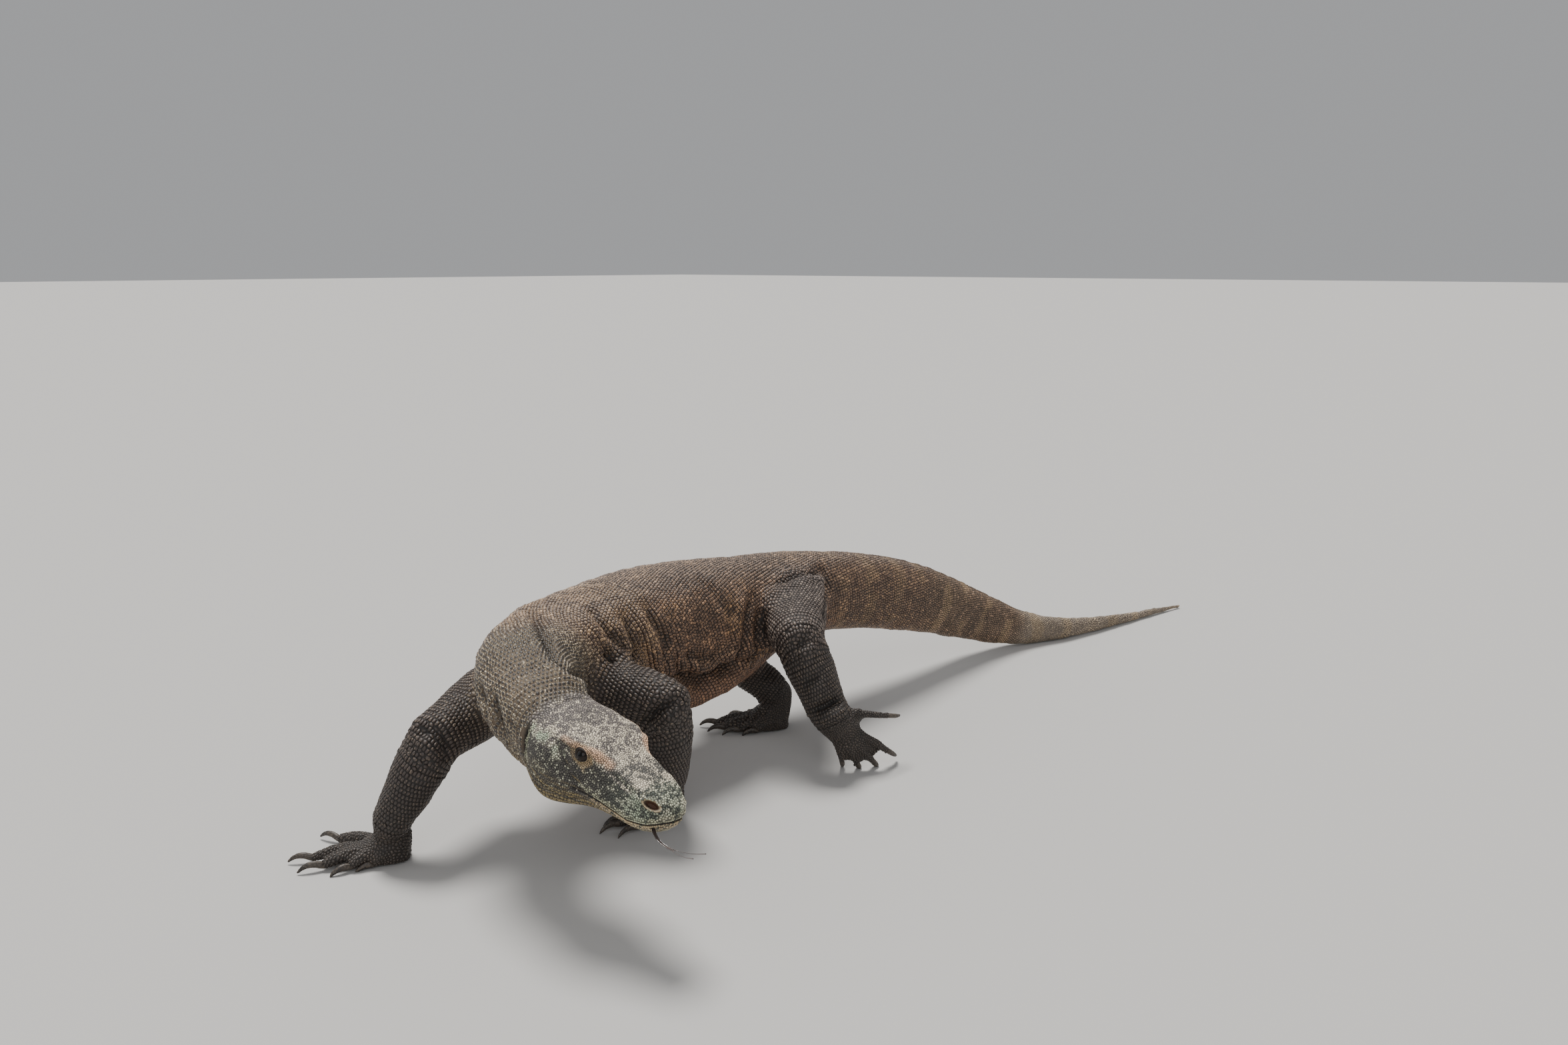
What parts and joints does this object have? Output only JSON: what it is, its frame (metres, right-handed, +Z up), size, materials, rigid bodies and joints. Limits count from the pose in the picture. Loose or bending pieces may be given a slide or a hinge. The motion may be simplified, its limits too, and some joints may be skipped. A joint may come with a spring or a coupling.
{
  "type": "komodo dragon model",
  "caption": "Life-size Komodo dragon in mid-stride: low head turned to its left, forked tongue out, heavy trunk, bowed clawed legs and a long tail resting on the ground.",
  "frame": {"origin": "on the floor, under the middle of the animal's bounding box", "axes": "the trunk lies along Y with the shoulders towards -Y and the tail towards +Y, +X is the animal's left, where the head points, and +Z is up"},
  "size_m": [0.7332, 2.1828, 0.367],
  "materials": {
    "hide": "dry scaled hide",
    "head_hide": "dry scaled hide, finer on the face",
    "horn": "satin black horn",
    "eyeball": "wet gloss",
    "wet_skin": "damp"
  },
  "bodies": {
    "root": {"head": "head_hide", "lower_jaw": "head_hide", "tongue": "wet_skin", "eye_left": "eyeball", "eye_right": "eyeball", "neck": "hide", "trunk_front": "hide", "trunk_belly": "hide", "trunk_hips": "hide", "tail_root": "hide", "tail_middle": "hide", "tail_tip": "hide", "upper_arm_left": "hide", "upper_arm_right": "hide", "forearm_left": "hide", "forearm_right": "hide", "fore_foot_left": "hide", "fore_foot_right": "hide", "thigh_left": "hide", "thigh_right": "hide", "shank_left": "hide", "shank_right": "hide", "hind_foot_left": "hide", "hind_foot_right": "hide", "claw_fore_left_1": "horn", "claw_fore_left_2": "horn", "claw_fore_left_3": "horn", "claw_fore_left_4": "horn", "claw_fore_left_5": "horn", "claw_fore_right_1": "horn", "claw_fore_right_2": "horn", "claw_fore_right_3": "horn", "claw_fore_right_4": "horn", "claw_fore_right_5": "horn", "claw_hind_left_1": "horn", "claw_hind_left_2": "horn", "claw_hind_left_3": "horn", "claw_hind_left_4": "horn", "claw_hind_left_5": "horn", "claw_hind_right_1": "horn", "claw_hind_right_2": "horn", "claw_hind_right_3": "horn", "claw_hind_right_4": "horn", "claw_hind_right_5": "horn"}
  },
  "joints": []
}
